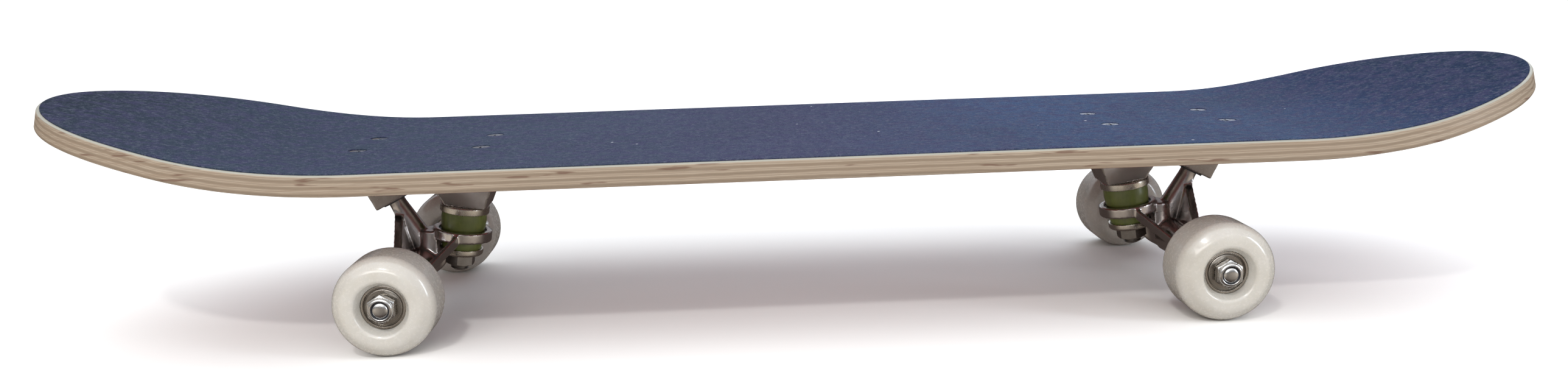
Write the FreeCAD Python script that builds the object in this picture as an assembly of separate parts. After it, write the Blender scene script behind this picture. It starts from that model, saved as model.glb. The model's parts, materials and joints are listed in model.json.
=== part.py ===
"""Skateboard: seven-ply double-kick deck, two trucks, four wheels on 608 bearings.

Millimetres, +Z up. The origin is on the ground under the middle of the deck. The nose points along -X
and the board's left side along -Y. Each truck is drawn once in its own frame, whose origin is on the
ground under the axle, with +X towards the middle of the board, and is then placed at nose and tail.
"""

import FreeCAD
import Part
import math
import os

from FreeCAD import Placement, Rotation, Vector

# ---- deck -------------------------------------------------------------------------------------------
DECK_HALF_LENGTH = 396.9    # 31 1/4 inch deck, measured over the lower edges of the kicks
DECK_HALF_WIDTH = 98.4      # 7 3/4 inch
DECK_TOP_Z = 90.0           # upper face of the wood over the trucks
PLY_COUNT = 7
PLY = 1.5
DECK_THICK = PLY_COUNT * PLY
DECK_BOTTOM_Z = DECK_TOP_Z - DECK_THICK
GRIP_THICK = 0.8
# each kick: where it starts, top face radius, angle, where the plan starts to round off, plan exponents
NOSE_KICK = {"start": 218.2, "radius": 360.0, "angle": 14.13, "round": 251.6, "p": 2.50, "q": 1.98}
TAIL_KICK = {"start": 238.9, "radius": 318.6, "angle": 14.27, "round": 285.3, "p": 1.94, "q": 1.98}
PLAN_STEPS = 24             # curve points along half of a rounded end
CUTTER_LOW_Z = 60.0
CUTTER_HIGH_Z = 140.0

# ---- trucks on the deck -----------------------------------------------------------------------------
TRUCK_MIDDLE_X = -1.8       # halfway between the two trucks
AXLE_SPREAD = 412.6         # axle to axle
BOLT_SPACING_LONG = 63.5
BOLT_SPACING_WIDE = 41.3
PLATE_MIDDLE = 6.5          # baseplate centre, inward of the axle
BOLT_R = 2.4
BOLT_HOLE_R = 2.6
BOLT_HEAD_R = 4.9
BOLT_HEAD_DEPTH = 2.5
CROSS_LONG = 5.0             # cross recess in the bolt heads
CROSS_WIDE = 1.1
CROSS_DEEP = 1.7
BOLT_HEAD_Z = DECK_TOP_Z + 0.4
BOLT_END_Z = 67.2
BOLT_NUT_AF = 9.5
BOLT_NUT_COLLAR = 1.6
BOLT_NUT_HIGH = 5.0

# ---- baseplate --------------------------------------------------------------------------------------
PLATE_LONG = 89.0
PLATE_WIDE = 55.0
PLATE_THICK = 6.0
PLATE_CORNER = 9.0
PLATE_BOTTOM_Z = DECK_BOTTOM_Z - PLATE_THICK
SEAT_WALL_HALF = 12.5       # half width of the two blocks under the plate, at their lower ends
SEAT_ROOT_HALF = 14.2       # and where they meet the plate
BOSS_OUTWARD = 8.5          # kingpin block: reach of its lower face either way from the kingpin
BOSS_INWARD = 12.8
BOSS_ROOT_X = (5.0, 45.0)
HOUSING_OUTWARD = 8.4       # pivot block: reach of its lower face either way from the pivot pin
HOUSING_INWARD = 9.6
HOUSING_ROOT_X = (-30.0, 3.0)

# ---- kingpin stack: distances along the kingpin from the middle of the hanger's ring ---------------
KINGPIN_TILT = 9.4          # degrees from vertical, top towards the middle of the board
RING_MIDDLE = Vector(20.7, 0, 40.2)
KINGPIN_R = 4.76
KINGPIN_LOW = -20.4
KINGPIN_HEAD_LOW = 32.6
KINGPIN_HEAD_HIGH = 37.8
HEX_14 = 14.3               # 9/16 inch across flats
BOSS_FACE = 16.8
TOP_CUP_LIP = 12.3
TOP_CUP_R = 13.2
BOTTOM_CUP_FACE = -11.3
BOTTOM_CUP_LIP = -7.6
BOTTOM_CUP_R = 11.8
CUP_SHEET = 1.2
CUP_BEND = 1.6
NUT_HEX_LOW = -17.2
NUT_COLLAR_LOW = -18.2
NUT_COLLAR_R = 5.5
BUSHING_BORE_R = 4.95
TOP_BUSHING_R = 11.9
BOTTOM_BUSHING_R = 10.5
BUSHING_EASE = 0.9
RING_R = 15.8
RING_HALF = 2.9
RING_BORE_R = 6.6
SEAT_DEPTH = 1.8
TOP_SEAT_R = 12.6
BOTTOM_SEAT_R = 11.2

# ---- pivot ------------------------------------------------------------------------------------------
PIN_LEAN = 27.0             # degrees from vertical, top away from the middle of the board
PIVOT_MOUTH = Vector(-13.8, 0, 60.3)
PIVOT_DEPTH = 8.2           # from the mouth to the centre of the ball end
PIN_R = 4.6
PIN_CLEAR = 0.08
PIN_NECK = 3.0              # straight part of the pin below the mouth
CUP_OUTER_R = 7.4
CUP_FLOOR = 2.0
CUP_FLARE_R = 6.1
CUP_LIP = 0.8

# ---- hanger -----------------------------------------------------------------------------------------
HANGER_HALF = 67.0
HOUSING_R = 7.2             # axle housing, and its swell towards the middle
HOUSING_SWELL_R = 9.2
HOUSING_SWELL_LONG = 50.0
ARM_LONG = 38.0
ARM_LOW_R = 8.0
COLUMN_X = 6.2              # round column between the housing and the ring
COLUMN_Z = (26.0, 43.4)
COLUMN_R = (11.5, 8.8)
WEB_TOP = (-15.0, 56.0)     # outer face of the web, as (x, z)
WEB_FOOT = (-7.6, 25.0)
WEB_THICK = 4.4
WEB_OUTLINE = ((44.0, 25.0), (26.0, 38.0), (5.2, 52.5), (4.2, 56.0))   # half width at each height
WING_RING_END = ((21.5, 15.6), (19.3, 14.6))    # plan positions of the rib's two faces
WING_AXLE_END = ((4.8, 58.4), (2.6, 57.5))
WING_RING_Z = (36.2, 42.0)
WING_AXLE_Z = (21.5, 26.0)
FLOOR_RING_END = (19.0, 14.5, 36.3)             # corner of the sloping wall between the ribs
FLOOR_AXLE_END = (0.0, 57.0, 21.5)
FLOOR_THICK = 2.4
NUT_ROOM = 2.6              # room left around the lower cup washer

# ---- axle, wheels, bearings -------------------------------------------------------------------------
AXLE_Z = 25.0
AXLE_R = 3.97
AXLE_HALF = 96.6
AXLE_CHAMFER = 0.8
WHEEL_R = 25.0
WHEEL_MIDDLE = 79.0
WHEEL_HALF_WIDTH = 16.0
WHEEL_EDGE_R = 7.5
RECESS_FACE_R = 14.2
BEARING_R = 11.0
BEARING_WIDE = 7.0
BEARING_GAP = 8.0           # between the two bearings of a wheel
CORE_BORE_R = 9.4
OUTER_RACE_IN_R = 9.5
INNER_RACE_OUT_R = 5.9
INNER_BORE_R = 4.0
BALL_COUNT = 7
BALL_R = 1.98
BALL_CIRCLE_R = 7.7
GROOVE_R = 2.02
SHIELD_THICK = 0.35
SHIELD_IN_R = 6.2
WASHER_THICK = 1.0
WASHER_R = 6.2
AXLE_NUT_AF = 12.7
AXLE_NUT_HEX = 3.6
AXLE_NUT_COLLAR = 1.6
AXLE_NUT_COLLAR_R = 6.0
AXLE_NUT_ROUND = 0.7
INSERT_R = 4.4

UP = Vector(0, 0, 1)
ALONG_Y = Vector(0, 1, 0)


# ---- general shapes ---------------------------------------------------------------------------------
def tube(low, high, outer, inner=0.0, base=Vector(0, 0, 0), axis=UP):
    """Cylinder or pipe from low to high along an axis through base."""
    start = base + axis * low
    shape = Part.makeCylinder(outer, high - low, start, axis)
    if inner:
        shape = shape.cut(Part.makeCylinder(inner, high - low, start, axis))
    return shape


def hexagon(low, high, across_flats):
    """Hexagonal bar along Z."""
    corner = across_flats / math.sqrt(3)
    points = [Vector(corner * math.cos(math.radians(60 * k)), corner * math.sin(math.radians(60 * k)), low)
              for k in range(7)]
    return Part.Face(Part.makePolygon(points)).extrude(Vector(0, 0, high - low))


def turned(points):
    """Solid turned about Z from (radius, height) points."""
    wire = Part.makePolygon([Vector(r, 0, z) for r, z in points + points[:1]])
    return Part.Face(wire).revolve(Vector(0, 0, 0), UP, 360)


def on_axis(shape, base, direction):
    """Move a shape drawn about Z so that its axis runs through base along direction."""
    placed = shape.copy()
    placed.Placement = Placement(base, Rotation(UP, direction))
    return placed


def tilted(degrees):
    """Unit vector in the XZ plane, tilted from vertical towards +X."""
    return Vector(math.sin(math.radians(degrees)), 0, math.cos(math.radians(degrees)))


def rounded_plate(half_long, half_wide, corner, low, high, middle_x):
    """Flat plate with round vertical corners."""
    shape = Part.makeBox(2 * half_long, 2 * half_wide, high - low,
                         Vector(middle_x - half_long, -half_wide, low))
    edges = [e for e in shape.Edges if abs(e.Vertexes[0].Z - e.Vertexes[1].Z) > 0.5 * (high - low)]
    return shape.makeFillet(corner, edges)


def block_between(lower, upper):
    """Straight-sided block between two four-cornered outlines."""
    wires = [Part.makePolygon([Vector(*p) for p in ring + ring[:1]]) for ring in (lower, upper)]
    return Part.makeLoft(wires, True, True)


def ring_of(corners_x, z_pair, half_wide):
    """Four corners of a slanted rectangle, symmetric about the XZ plane."""
    (x0, x1), (z0, z1) = corners_x, z_pair
    return [(x0, -half_wide, z0), (x1, -half_wide, z1), (x1, half_wide, z1), (x0, half_wide, z0)]


# ---- deck -------------------------------------------------------------------------------------------
def kick_rise(kick, x):
    """Height of the top face above the flat at distance x from the middle, and its slope in radians."""
    angle = math.radians(kick["angle"])
    past = max(x - kick["start"], 0.0)
    arc_end = kick["radius"] * math.sin(angle)
    if past <= arc_end:
        slope = math.asin(past / kick["radius"])
        return kick["radius"] * (1 - math.cos(slope)), slope
    rise = kick["radius"] * (1 - math.cos(angle)) + (past - arc_end) * math.tan(angle)
    return rise, angle


def tip_x(kick):
    """Distance from the middle to the tip on the top face, with the cut square to the kick."""
    return DECK_HALF_LENGTH - DECK_THICK * math.sin(math.radians(kick["angle"]))


def end_curve(kick, side, plane_z):
    """Rounded end of the deck plan where the edge, cut square to the surface, meets a level plane."""
    tip = tip_x(kick)
    points = []
    for k in range(-PLAN_STEPS, PLAN_STEPS + 1):
        share = math.sin((1 - abs(k) / PLAN_STEPS) * math.pi / 2)
        x = kick["round"] + (tip - kick["round"]) * share
        half = DECK_HALF_WIDTH * (1 - share ** kick["p"]) ** (1 / kick["q"])
        rise, slope = kick_rise(kick, x)
        level_x = x + (DECK_TOP_Z + rise - plane_z) * math.tan(slope)
        points.append(Vector(side * level_x, math.copysign(half, k), plane_z))
    curve = Part.BSplineCurve()
    curve.interpolate(Points=points, InitialTangent=Vector(side, 0, 0), FinalTangent=Vector(-side, 0, 0))
    return curve.toShape()


def deck_cutter():
    """Tall solid whose sides are the deck's edge."""
    wires = []
    for z in (CUTTER_LOW_Z, CUTTER_HIGH_Z):
        nose = end_curve(NOSE_KICK, -1, z)
        tail = end_curve(TAIL_KICK, 1, z)
        left = Part.makeLine(nose.Vertexes[0].Point, tail.Vertexes[0].Point)
        right = Part.makeLine(tail.Vertexes[1].Point, nose.Vertexes[1].Point)
        wires.append(Part.Wire([left, tail, right, nose]))
    return Part.makeLoft(wires, True, True)


def side_line(height):
    """Edges of the deck's side profile at a height above its lower face, from nose to tail."""
    z_flat = DECK_BOTTOM_Z + height
    beyond = DECK_HALF_LENGTH
    points = []
    for kick, side in ((NOSE_KICK, -1), (TAIL_KICK, 1)):
        radius = kick["radius"] + DECK_THICK - height
        angle = math.radians(kick["angle"])

        def on_arc(turn):
            return Vector(side * (kick["start"] + radius * math.sin(turn)), 0,
                          z_flat + radius * (1 - math.cos(turn)))

        end = on_arc(angle)
        far = end + Vector(side * math.cos(angle), 0, math.sin(angle)) * beyond
        points.append([far, end, on_arc(angle / 2), on_arc(0)])
    nose, tail = points
    return [Part.makeLine(nose[0], nose[1]), Part.Arc(nose[1], nose[2], nose[3]).toShape(),
            Part.makeLine(nose[3], tail[3]), Part.Arc(tail[3], tail[2], tail[1]).toShape(),
            Part.makeLine(tail[1], tail[0])]


def layer(low, high):
    """Bent layer of the deck between two heights above its lower face, wider than the deck."""
    lower = side_line(low)
    upper = side_line(high)
    ends = [Part.makeLine(lower[0].Vertexes[0].Point, upper[0].Vertexes[0].Point),
            Part.makeLine(lower[-1].Vertexes[1].Point, upper[-1].Vertexes[1].Point)]
    wire = Part.Wire(Part.__sortEdges__(lower + upper + ends))
    width = 2 * DECK_HALF_WIDTH + 20
    return Part.Face(wire).extrude(Vector(0, width, 0)).translated(Vector(0, -width / 2, 0))


def bolt_centres():
    """Bolt positions of one truck in the truck's own frame."""
    return [Vector(PLATE_MIDDLE + i * BOLT_SPACING_LONG / 2, j * BOLT_SPACING_WIDE / 2, 0)
            for i in (-1, 1) for j in (-1, 1)]


def bolt_hole_cutters():
    """Clearance holes with countersinks for the eight mounting bolts."""
    cutters = []
    head_low = BOLT_HEAD_Z - BOLT_HEAD_DEPTH
    for place in (place_nose, place_tail):
        for centre in bolt_centres():
            hole = tube(DECK_BOTTOM_Z - 1, DECK_TOP_Z + 5, BOLT_HOLE_R, base=centre)
            sink = Part.makeCone(BOLT_HOLE_R, BOLT_HEAD_R + 0.1, BOLT_HEAD_DEPTH,
                                 centre + UP * head_low, UP)
            mouth = tube(BOLT_HEAD_Z, DECK_TOP_Z + 5, BOLT_HEAD_R + 0.1, base=centre)
            cutters.append(place(hole.fuse([sink, mouth])))
    return cutters


def make_deck():
    """The plies and the grip sheet."""
    cutter = deck_cutter()
    holes = bolt_hole_cutters()
    pieces = {}
    for k in range(PLY_COUNT):
        pieces["ply_%d" % (k + 1)] = layer(k * PLY, (k + 1) * PLY).common(cutter).cut(holes)
    pieces["grip_tape"] = layer(DECK_THICK, DECK_THICK + GRIP_THICK).common(cutter).cut(holes)
    return pieces


# ---- baseplate and its fixings ----------------------------------------------------------------------
KINGPIN_AXIS = tilted(KINGPIN_TILT)
PIN_AXIS = tilted(-PIN_LEAN)
PIVOT_BALL = PIVOT_MOUTH + PIN_AXIS * PIVOT_DEPTH


def stack(shape):
    """Place a shape drawn about Z on the kingpin, with z = 0 at the middle of the hanger's ring."""
    return on_axis(shape, RING_MIDDLE, KINGPIN_AXIS)


def seat_block(face, normal, outward, inward, root_x):
    """Tapered block under the plate whose lower face is square to a slanted axis."""
    across = Vector(normal.z, 0, -normal.x)
    if across.x < 0:
        across = across.negative()
    low_out, low_in = face - across * outward, face + across * inward
    root_z = PLATE_BOTTOM_Z + 2
    return block_between(ring_of((low_out.x, low_in.x), (low_out.z, low_in.z), SEAT_WALL_HALF),
                         ring_of(root_x, (root_z, root_z), SEAT_ROOT_HALF))


def make_baseplate():
    plate = rounded_plate(PLATE_LONG / 2, PLATE_WIDE / 2, PLATE_CORNER, PLATE_BOTTOM_Z, DECK_BOTTOM_Z,
                          PLATE_MIDDLE)
    boss = seat_block(RING_MIDDLE + KINGPIN_AXIS * BOSS_FACE, KINGPIN_AXIS, BOSS_OUTWARD, BOSS_INWARD,
                      BOSS_ROOT_X)
    housing = seat_block(PIVOT_MOUTH, PIN_AXIS, HOUSING_OUTWARD, HOUSING_INWARD, HOUSING_ROOT_X)
    solid = plate.fuse([boss, housing]).removeSplitter()
    socket = on_axis(tube(-2, PIVOT_DEPTH + PIN_R + CUP_FLOOR, CUP_OUTER_R), PIVOT_MOUTH, PIN_AXIS)
    bore = stack(tube(BOSS_FACE - 2, KINGPIN_HEAD_HIGH + 8, KINGPIN_R + 0.04))
    pocket = stack(hexagon(KINGPIN_HEAD_LOW, KINGPIN_HEAD_HIGH + 8, HEX_14 + 0.2))
    holes = [tube(PLATE_BOTTOM_Z - 1, DECK_BOTTOM_Z + 1, BOLT_HOLE_R, base=c) for c in bolt_centres()]
    return solid.cut([socket, bore, pocket] + holes)


def make_pivot_cup():
    """Urethane cup that holds the hanger's ball-ended pin."""
    ball_r = PIN_R + PIN_CLEAR
    outer = tube(-CUP_LIP, PIVOT_DEPTH + PIN_R + CUP_FLOOR, CUP_OUTER_R)
    cavity = Part.makeSphere(ball_r, Vector(0, 0, PIVOT_DEPTH))
    flare = Part.makeCone(CUP_FLARE_R, ball_r, PIVOT_DEPTH + CUP_LIP, Vector(0, 0, -CUP_LIP), UP)
    return on_axis(outer.cut([cavity, flare]), PIVOT_MOUTH, PIN_AXIS)


def make_kingpin():
    shank = tube(KINGPIN_LOW, KINGPIN_HEAD_LOW, KINGPIN_R)
    end = [e for e in shank.Edges if e.Vertexes[0].Z < KINGPIN_LOW + 1 and len(e.Vertexes) == 1]
    shank = shank.makeChamfer(0.9, end[:1])
    return stack(shank.fuse(hexagon(KINGPIN_HEAD_LOW, KINGPIN_HEAD_HIGH, HEX_14)))


def cup_washer(face, lip, radius):
    """Dished washer: a flat disc at face whose rim turns towards lip."""
    turn = 1 if lip > face else -1
    inside = face + turn * CUP_SHEET
    bore = KINGPIN_R + 0.04
    return turned([(bore, face), (radius - CUP_BEND, face), (radius, face + turn * CUP_BEND), (radius, lip),
                   (radius - CUP_SHEET, lip), (radius - CUP_SHEET, face + turn * (CUP_BEND + 0.4)),
                   (radius - CUP_BEND - 0.4, inside), (bore, inside)])


def bushing(seat, free, radius):
    """Urethane bushing from the ring's seat to the cup washer, eased at its free end."""
    turn = 1 if free > seat else -1
    return turned([(BUSHING_BORE_R, seat), (radius, seat), (radius, free - turn * BUSHING_EASE),
                   (radius - BUSHING_EASE, free), (BUSHING_BORE_R, free)])


def make_kingpin_nut():
    """Lock nut with a round collar below its hexagon."""
    easing = Part.makeCone(HEX_14 / 2 + 0.3, HEX_14 / 2 + 4.3, 8, Vector(0, 0, NUT_HEX_LOW), UP)
    nut = hexagon(NUT_HEX_LOW, BOTTOM_CUP_FACE, HEX_14).common(easing)
    nut = nut.fuse(tube(NUT_COLLAR_LOW, NUT_HEX_LOW, NUT_COLLAR_R))
    return nut.cut(tube(NUT_COLLAR_LOW - 1, BOTTOM_CUP_FACE + 1, KINGPIN_R))


def make_kingpin_stack():
    """Everything threaded on the kingpin apart from the hanger."""
    seat = RING_HALF - SEAT_DEPTH
    return {
        "top_cup_washer": stack(cup_washer(BOSS_FACE, TOP_CUP_LIP, TOP_CUP_R)),
        "board_side_bushing": stack(bushing(seat, BOSS_FACE - CUP_SHEET, TOP_BUSHING_R)),
        "road_side_bushing": stack(bushing(-seat, BOTTOM_CUP_FACE + CUP_SHEET, BOTTOM_BUSHING_R)),
        "bottom_cup_washer": stack(cup_washer(BOTTOM_CUP_FACE, BOTTOM_CUP_LIP, BOTTOM_CUP_R)),
        "kingpin_nut": stack(make_kingpin_nut()),
    }


def cross_recess_bolt(centre):
    """Countersunk mounting bolt with a cross recess."""
    head_low = BOLT_HEAD_Z - BOLT_HEAD_DEPTH
    shank = tube(BOLT_END_Z, head_low + 0.2, BOLT_R)
    head = Part.makeCone(BOLT_R, BOLT_HEAD_R, BOLT_HEAD_DEPTH, Vector(0, 0, head_low), UP)
    low = BOLT_HEAD_Z - CROSS_DEEP
    slots = [Part.makeBox(length, width, CROSS_DEEP, Vector(-length / 2, -width / 2, low))
             for length, width in ((CROSS_LONG, CROSS_WIDE), (CROSS_WIDE, CROSS_LONG))]
    bolt = shank.fuse(head).cut(slots)
    return bolt.translated(Vector(centre.x, centre.y, 0))


def mounting_nut(centre):
    """Nut with a nylon collar under the baseplate."""
    low = PLATE_BOTTOM_Z - BOLT_NUT_HIGH
    hex_low = low + BOLT_NUT_COLLAR
    body = hexagon(hex_low, PLATE_BOTTOM_Z, BOLT_NUT_AF).fuse(tube(low, hex_low, BOLT_NUT_AF / 2 - 0.5))
    body = body.cut(tube(low - 1, PLATE_BOTTOM_Z + 1, BOLT_R))
    return body.translated(Vector(centre.x, centre.y, 0))


# ---- hanger -----------------------------------------------------------------------------------------
def make_hanger():
    """Cast hanger: axle housing, web, arm and pin to the pivot, column, ring and its two wings."""
    axle_line = Vector(0, 0, AXLE_Z)
    housing = tube(-HANGER_HALF, HANGER_HALF, HOUSING_R, base=axle_line, axis=ALONG_Y)
    swell = [Part.makeCone(HOUSING_SWELL_R, HOUSING_R, HOUSING_SWELL_LONG, axle_line, ALONG_Y * side)
             for side in (-1, 1)]
    arm = Part.makeCone(ARM_LOW_R, PIN_R, ARM_LONG - PIN_NECK, PIVOT_MOUTH - PIN_AXIS * ARM_LONG, PIN_AXIS)
    pin = Part.makeCylinder(PIN_R, PIN_NECK + PIVOT_DEPTH, PIVOT_MOUTH - PIN_AXIS * PIN_NECK, PIN_AXIS)
    ball = Part.makeSphere(PIN_R, PIVOT_BALL)
    column = Part.makeCone(COLUMN_R[0], COLUMN_R[1], COLUMN_Z[1] - COLUMN_Z[0],
                           Vector(COLUMN_X, 0, COLUMN_Z[0]), UP)
    ring = stack(tube(-RING_HALF, RING_HALF, RING_R))
    body = housing.fuse(swell + [arm, pin, ball, column, web_plate(), ring, floor_plate()] + wings())
    seats = [stack(tube(RING_HALF - SEAT_DEPTH, 20, TOP_SEAT_R)),
             stack(tube(-12, SEAT_DEPTH - RING_HALF, BOTTOM_SEAT_R)),
             stack(tube(-20, 20, RING_BORE_R))]
    nut_room = stack(tube(-30, -RING_HALF - 0.01, BOTTOM_CUP_R + NUT_ROOM))
    axle_hole = tube(-HANGER_HALF - 1, HANGER_HALF + 1, AXLE_R, base=axle_line, axis=ALONG_Y)
    return body.cut(seats + [nut_room, axle_hole]).removeSplitter()


def web_plate():
    """Leaning triangular web from the axle housing up to the arm."""
    lean = (WEB_TOP[0] - WEB_FOOT[0]) / (WEB_TOP[1] - WEB_FOOT[1])
    points = [Vector(WEB_FOOT[0] + (z - WEB_FOOT[1]) * lean, side * y, z)
              for side, outline in ((-1, WEB_OUTLINE), (1, WEB_OUTLINE[::-1])) for y, z in outline]
    wire = Part.makePolygon(points + points[:1])
    return Part.Face(wire).extrude(Vector(WEB_THICK, 0, 0))


def wings():
    """Rib from each side of the ring down to each end of the axle housing."""
    ribs = []
    for side in (-1, 1):
        ends = []
        for (outer, inner), (low, high) in ((WING_RING_END, WING_RING_Z), (WING_AXLE_END, WING_AXLE_Z)):
            ends.append([(outer[0], side * outer[1], low), (inner[0], side * inner[1], low),
                         (inner[0], side * inner[1], high), (outer[0], side * outer[1], high)])
        ribs.append(block_between(*ends))
    return ribs


def floor_plate():
    """Thin sloping wall that closes the hanger between its ribs and the axle housing."""
    (x0, y0, z0), (x1, y1, z1) = FLOOR_RING_END, FLOOR_AXLE_END
    outline = Part.makePolygon([Vector(x0, -y0, z0), Vector(x0, y0, z0), Vector(x1, y1, z1),
                                Vector(x1, -y1, z1), Vector(x0, -y0, z0)])
    return Part.Face(outline).extrude(Vector(0, 0, FLOOR_THICK))


# ---- axle, wheels, bearings -------------------------------------------------------------------------
def make_axle():
    shape = tube(-AXLE_HALF, AXLE_HALF, AXLE_R, base=Vector(0, 0, AXLE_Z), axis=ALONG_Y)
    ends = [e for e in shape.Edges if len(e.Vertexes) == 1]
    return shape.makeChamfer(AXLE_CHAMFER, ends)


def at_axle(shape, y, outward):
    """Place a shape drawn about Z on the axle, its +Z pointing outward along Y."""
    return on_axis(shape, Vector(0, y, AXLE_Z), ALONG_Y * outward)


def wheel_shape():
    """Urethane wheel about Z, centred on z = 0, with a bearing seat and a flared recess at each face."""
    bearing_out = BEARING_GAP / 2 + BEARING_WIDE
    shape = tube(-WHEEL_HALF_WIDTH, WHEEL_HALF_WIDTH, WHEEL_R)
    rims = [e for e in shape.Edges if len(e.Vertexes) == 1]
    shape = shape.makeFillet(WHEEL_EDGE_R, rims)
    cuts = [tube(-20, 20, CORE_BORE_R)]
    for side in (-1, 1):
        direction = UP * side
        cuts.append(tube(BEARING_GAP / 2, bearing_out, BEARING_R, axis=direction))
        cuts.append(Part.makeCone(BEARING_R, RECESS_FACE_R, WHEEL_HALF_WIDTH - bearing_out,
                                  direction * bearing_out, direction))
    shape = shape.cut(cuts)
    mouths = [e for e in shape.Edges if len(e.Vertexes) == 1 and
              abs(e.BoundBox.XMax - RECESS_FACE_R) < 0.01]
    return shape.makeFillet(1.4, mouths)


def bearing_pair():
    """Races, balls and shields of the two bearings in a wheel, about Z."""
    pieces = {"outer_races": [], "inner_races": [], "balls": [], "shields": []}
    half = BEARING_WIDE / 2
    for side in (-1, 1):
        middle = side * (BEARING_GAP + BEARING_WIDE) / 2
        groove = Part.makeTorus(BALL_CIRCLE_R, GROOVE_R, Vector(0, 0, middle), UP)
        low, high = middle - half, middle + half
        outer = tube(low, high, BEARING_R, OUTER_RACE_IN_R).cut(groove)
        steps = [tube(low - 1, low + SHIELD_THICK + 0.15, OUTER_RACE_IN_R + 0.4),
                 tube(high - SHIELD_THICK - 0.15, high + 1, OUTER_RACE_IN_R + 0.4)]
        pieces["outer_races"].append(outer.cut(steps))
        pieces["inner_races"].append(tube(low, high, INNER_RACE_OUT_R, INNER_BORE_R).cut(groove))
        for face in (low + 0.15, high - 0.15 - SHIELD_THICK):
            pieces["shields"].append(tube(face, face + SHIELD_THICK, OUTER_RACE_IN_R + 0.4, SHIELD_IN_R))
        for k in range(BALL_COUNT):
            turn = 2 * math.pi * k / BALL_COUNT
            centre = Vector(BALL_CIRCLE_R * math.cos(turn), BALL_CIRCLE_R * math.sin(turn), middle)
            pieces["balls"].append(Part.makeSphere(BALL_R, centre))
    return {name: Part.makeCompound(solids) for name, solids in pieces.items()}


def axle_fixings():
    """Washers, nuts and nylon inserts on both ends of one axle."""
    inner_face = WHEEL_MIDDLE - BEARING_GAP / 2 - BEARING_WIDE
    outer_face = WHEEL_MIDDLE + BEARING_GAP / 2 + BEARING_WIDE
    nut_low = outer_face + WASHER_THICK
    hex_high = nut_low + AXLE_NUT_HEX
    washers, nuts, inserts = [], [], []
    hex_part = hexagon(nut_low, hex_high, AXLE_NUT_AF)
    ease = Part.makeCone(AXLE_NUT_AF / 2 + 4.1, AXLE_NUT_AF / 2 + 0.3, 5.6,
                         Vector(0, 0, hex_high - 5.6), UP)
    collar = tube(hex_high, hex_high + AXLE_NUT_COLLAR, AXLE_NUT_COLLAR_R)
    collar = collar.makeFillet(AXLE_NUT_ROUND, [e for e in collar.Edges if e.BoundBox.ZMin > hex_high + 1])
    nut = hex_part.common(ease).fuse(collar).cut([tube(0, 120, AXLE_R), tube(hex_high, 120, INSERT_R)])
    insert = tube(hex_high, hex_high + AXLE_NUT_COLLAR - 0.3, INSERT_R, AXLE_R)
    for side in (-1, 1):
        for low in (inner_face - WASHER_THICK, outer_face):
            washers.append(at_axle(tube(low, low + WASHER_THICK, WASHER_R, AXLE_R), 0, side))
        nuts.append(at_axle(nut, 0, side))
        inserts.append(at_axle(insert, 0, side))
    return {"axle_washers": Part.makeCompound(washers), "axle_nuts": Part.makeCompound(nuts),
            "axle_nut_inserts": Part.makeCompound(inserts)}


# ---- the whole board --------------------------------------------------------------------------------
def placed_at(shape, x, turn):
    moved = shape.copy()
    step = Placement(Vector(x, 0, 0), Rotation(UP, turn))
    moved.Placement = step.multiply(moved.Placement)
    return moved


def place_nose(shape):
    return placed_at(shape, TRUCK_MIDDLE_X - AXLE_SPREAD / 2, 0)


def place_tail(shape):
    return placed_at(shape, TRUCK_MIDDLE_X + AXLE_SPREAD / 2, 180)


def make_truck():
    """Every piece of one truck without its wheels, in the truck's own frame."""
    pieces = {"baseplate": make_baseplate(), "pivot_cup": make_pivot_cup(), "kingpin": make_kingpin(),
              "hanger": make_hanger(), "axle": make_axle()}
    pieces.update(make_kingpin_stack())
    pieces.update(axle_fixings())
    pieces["mounting_bolts"] = Part.makeCompound([cross_recess_bolt(c) for c in bolt_centres()])
    pieces["mounting_nuts"] = Part.makeCompound([mounting_nut(c) for c in bolt_centres()])
    return pieces


def make_wheel_sets():
    """Wheel and bearings for both ends of one axle, keyed by the side of the truck's own frame."""
    parts = {"wheel": wheel_shape()}
    parts.update(bearing_pair())
    return {side: {name: at_axle(shape, side * WHEEL_MIDDLE, side) for name, shape in parts.items()}
            for side in (-1, 1)}


def main():
    os.makedirs("parts", exist_ok=True)
    nodes = make_deck()
    truck = make_truck()
    wheel_sets = make_wheel_sets()
    # turning the tail truck half round swaps its sides
    for end, place, left_side in (("nose", place_nose, -1), ("tail", place_tail, 1)):
        for name, shape in truck.items():
            nodes["%s_%s" % (end, name)] = place(shape)
        for hand, side in (("left", left_side), ("right", -left_side)):
            for name, shape in wheel_sets[side].items():
                nodes["%s_%s_%s" % (end, hand, name)] = place(shape)
    for name, shape in nodes.items():
        shape.exportStep("parts/%s.step" % name)
        print("%-32s solids %2d  valid %s  volume %.1f" % (name, len(shape.Solids), shape.isValid(),
                                                           shape.Volume))


if __name__ == "__main__":
    main()
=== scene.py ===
"""Looks for the skateboard: a bent maple deck with grip, two cast trucks and four urethane wheels.

Metres, +Z up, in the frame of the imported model. Part sizes below are in millimetres and are turned into
metres by the shape functions. The nose is at -X.
"""

import json
import math

import bmesh
import bpy
from mathutils import Matrix, Vector


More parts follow.
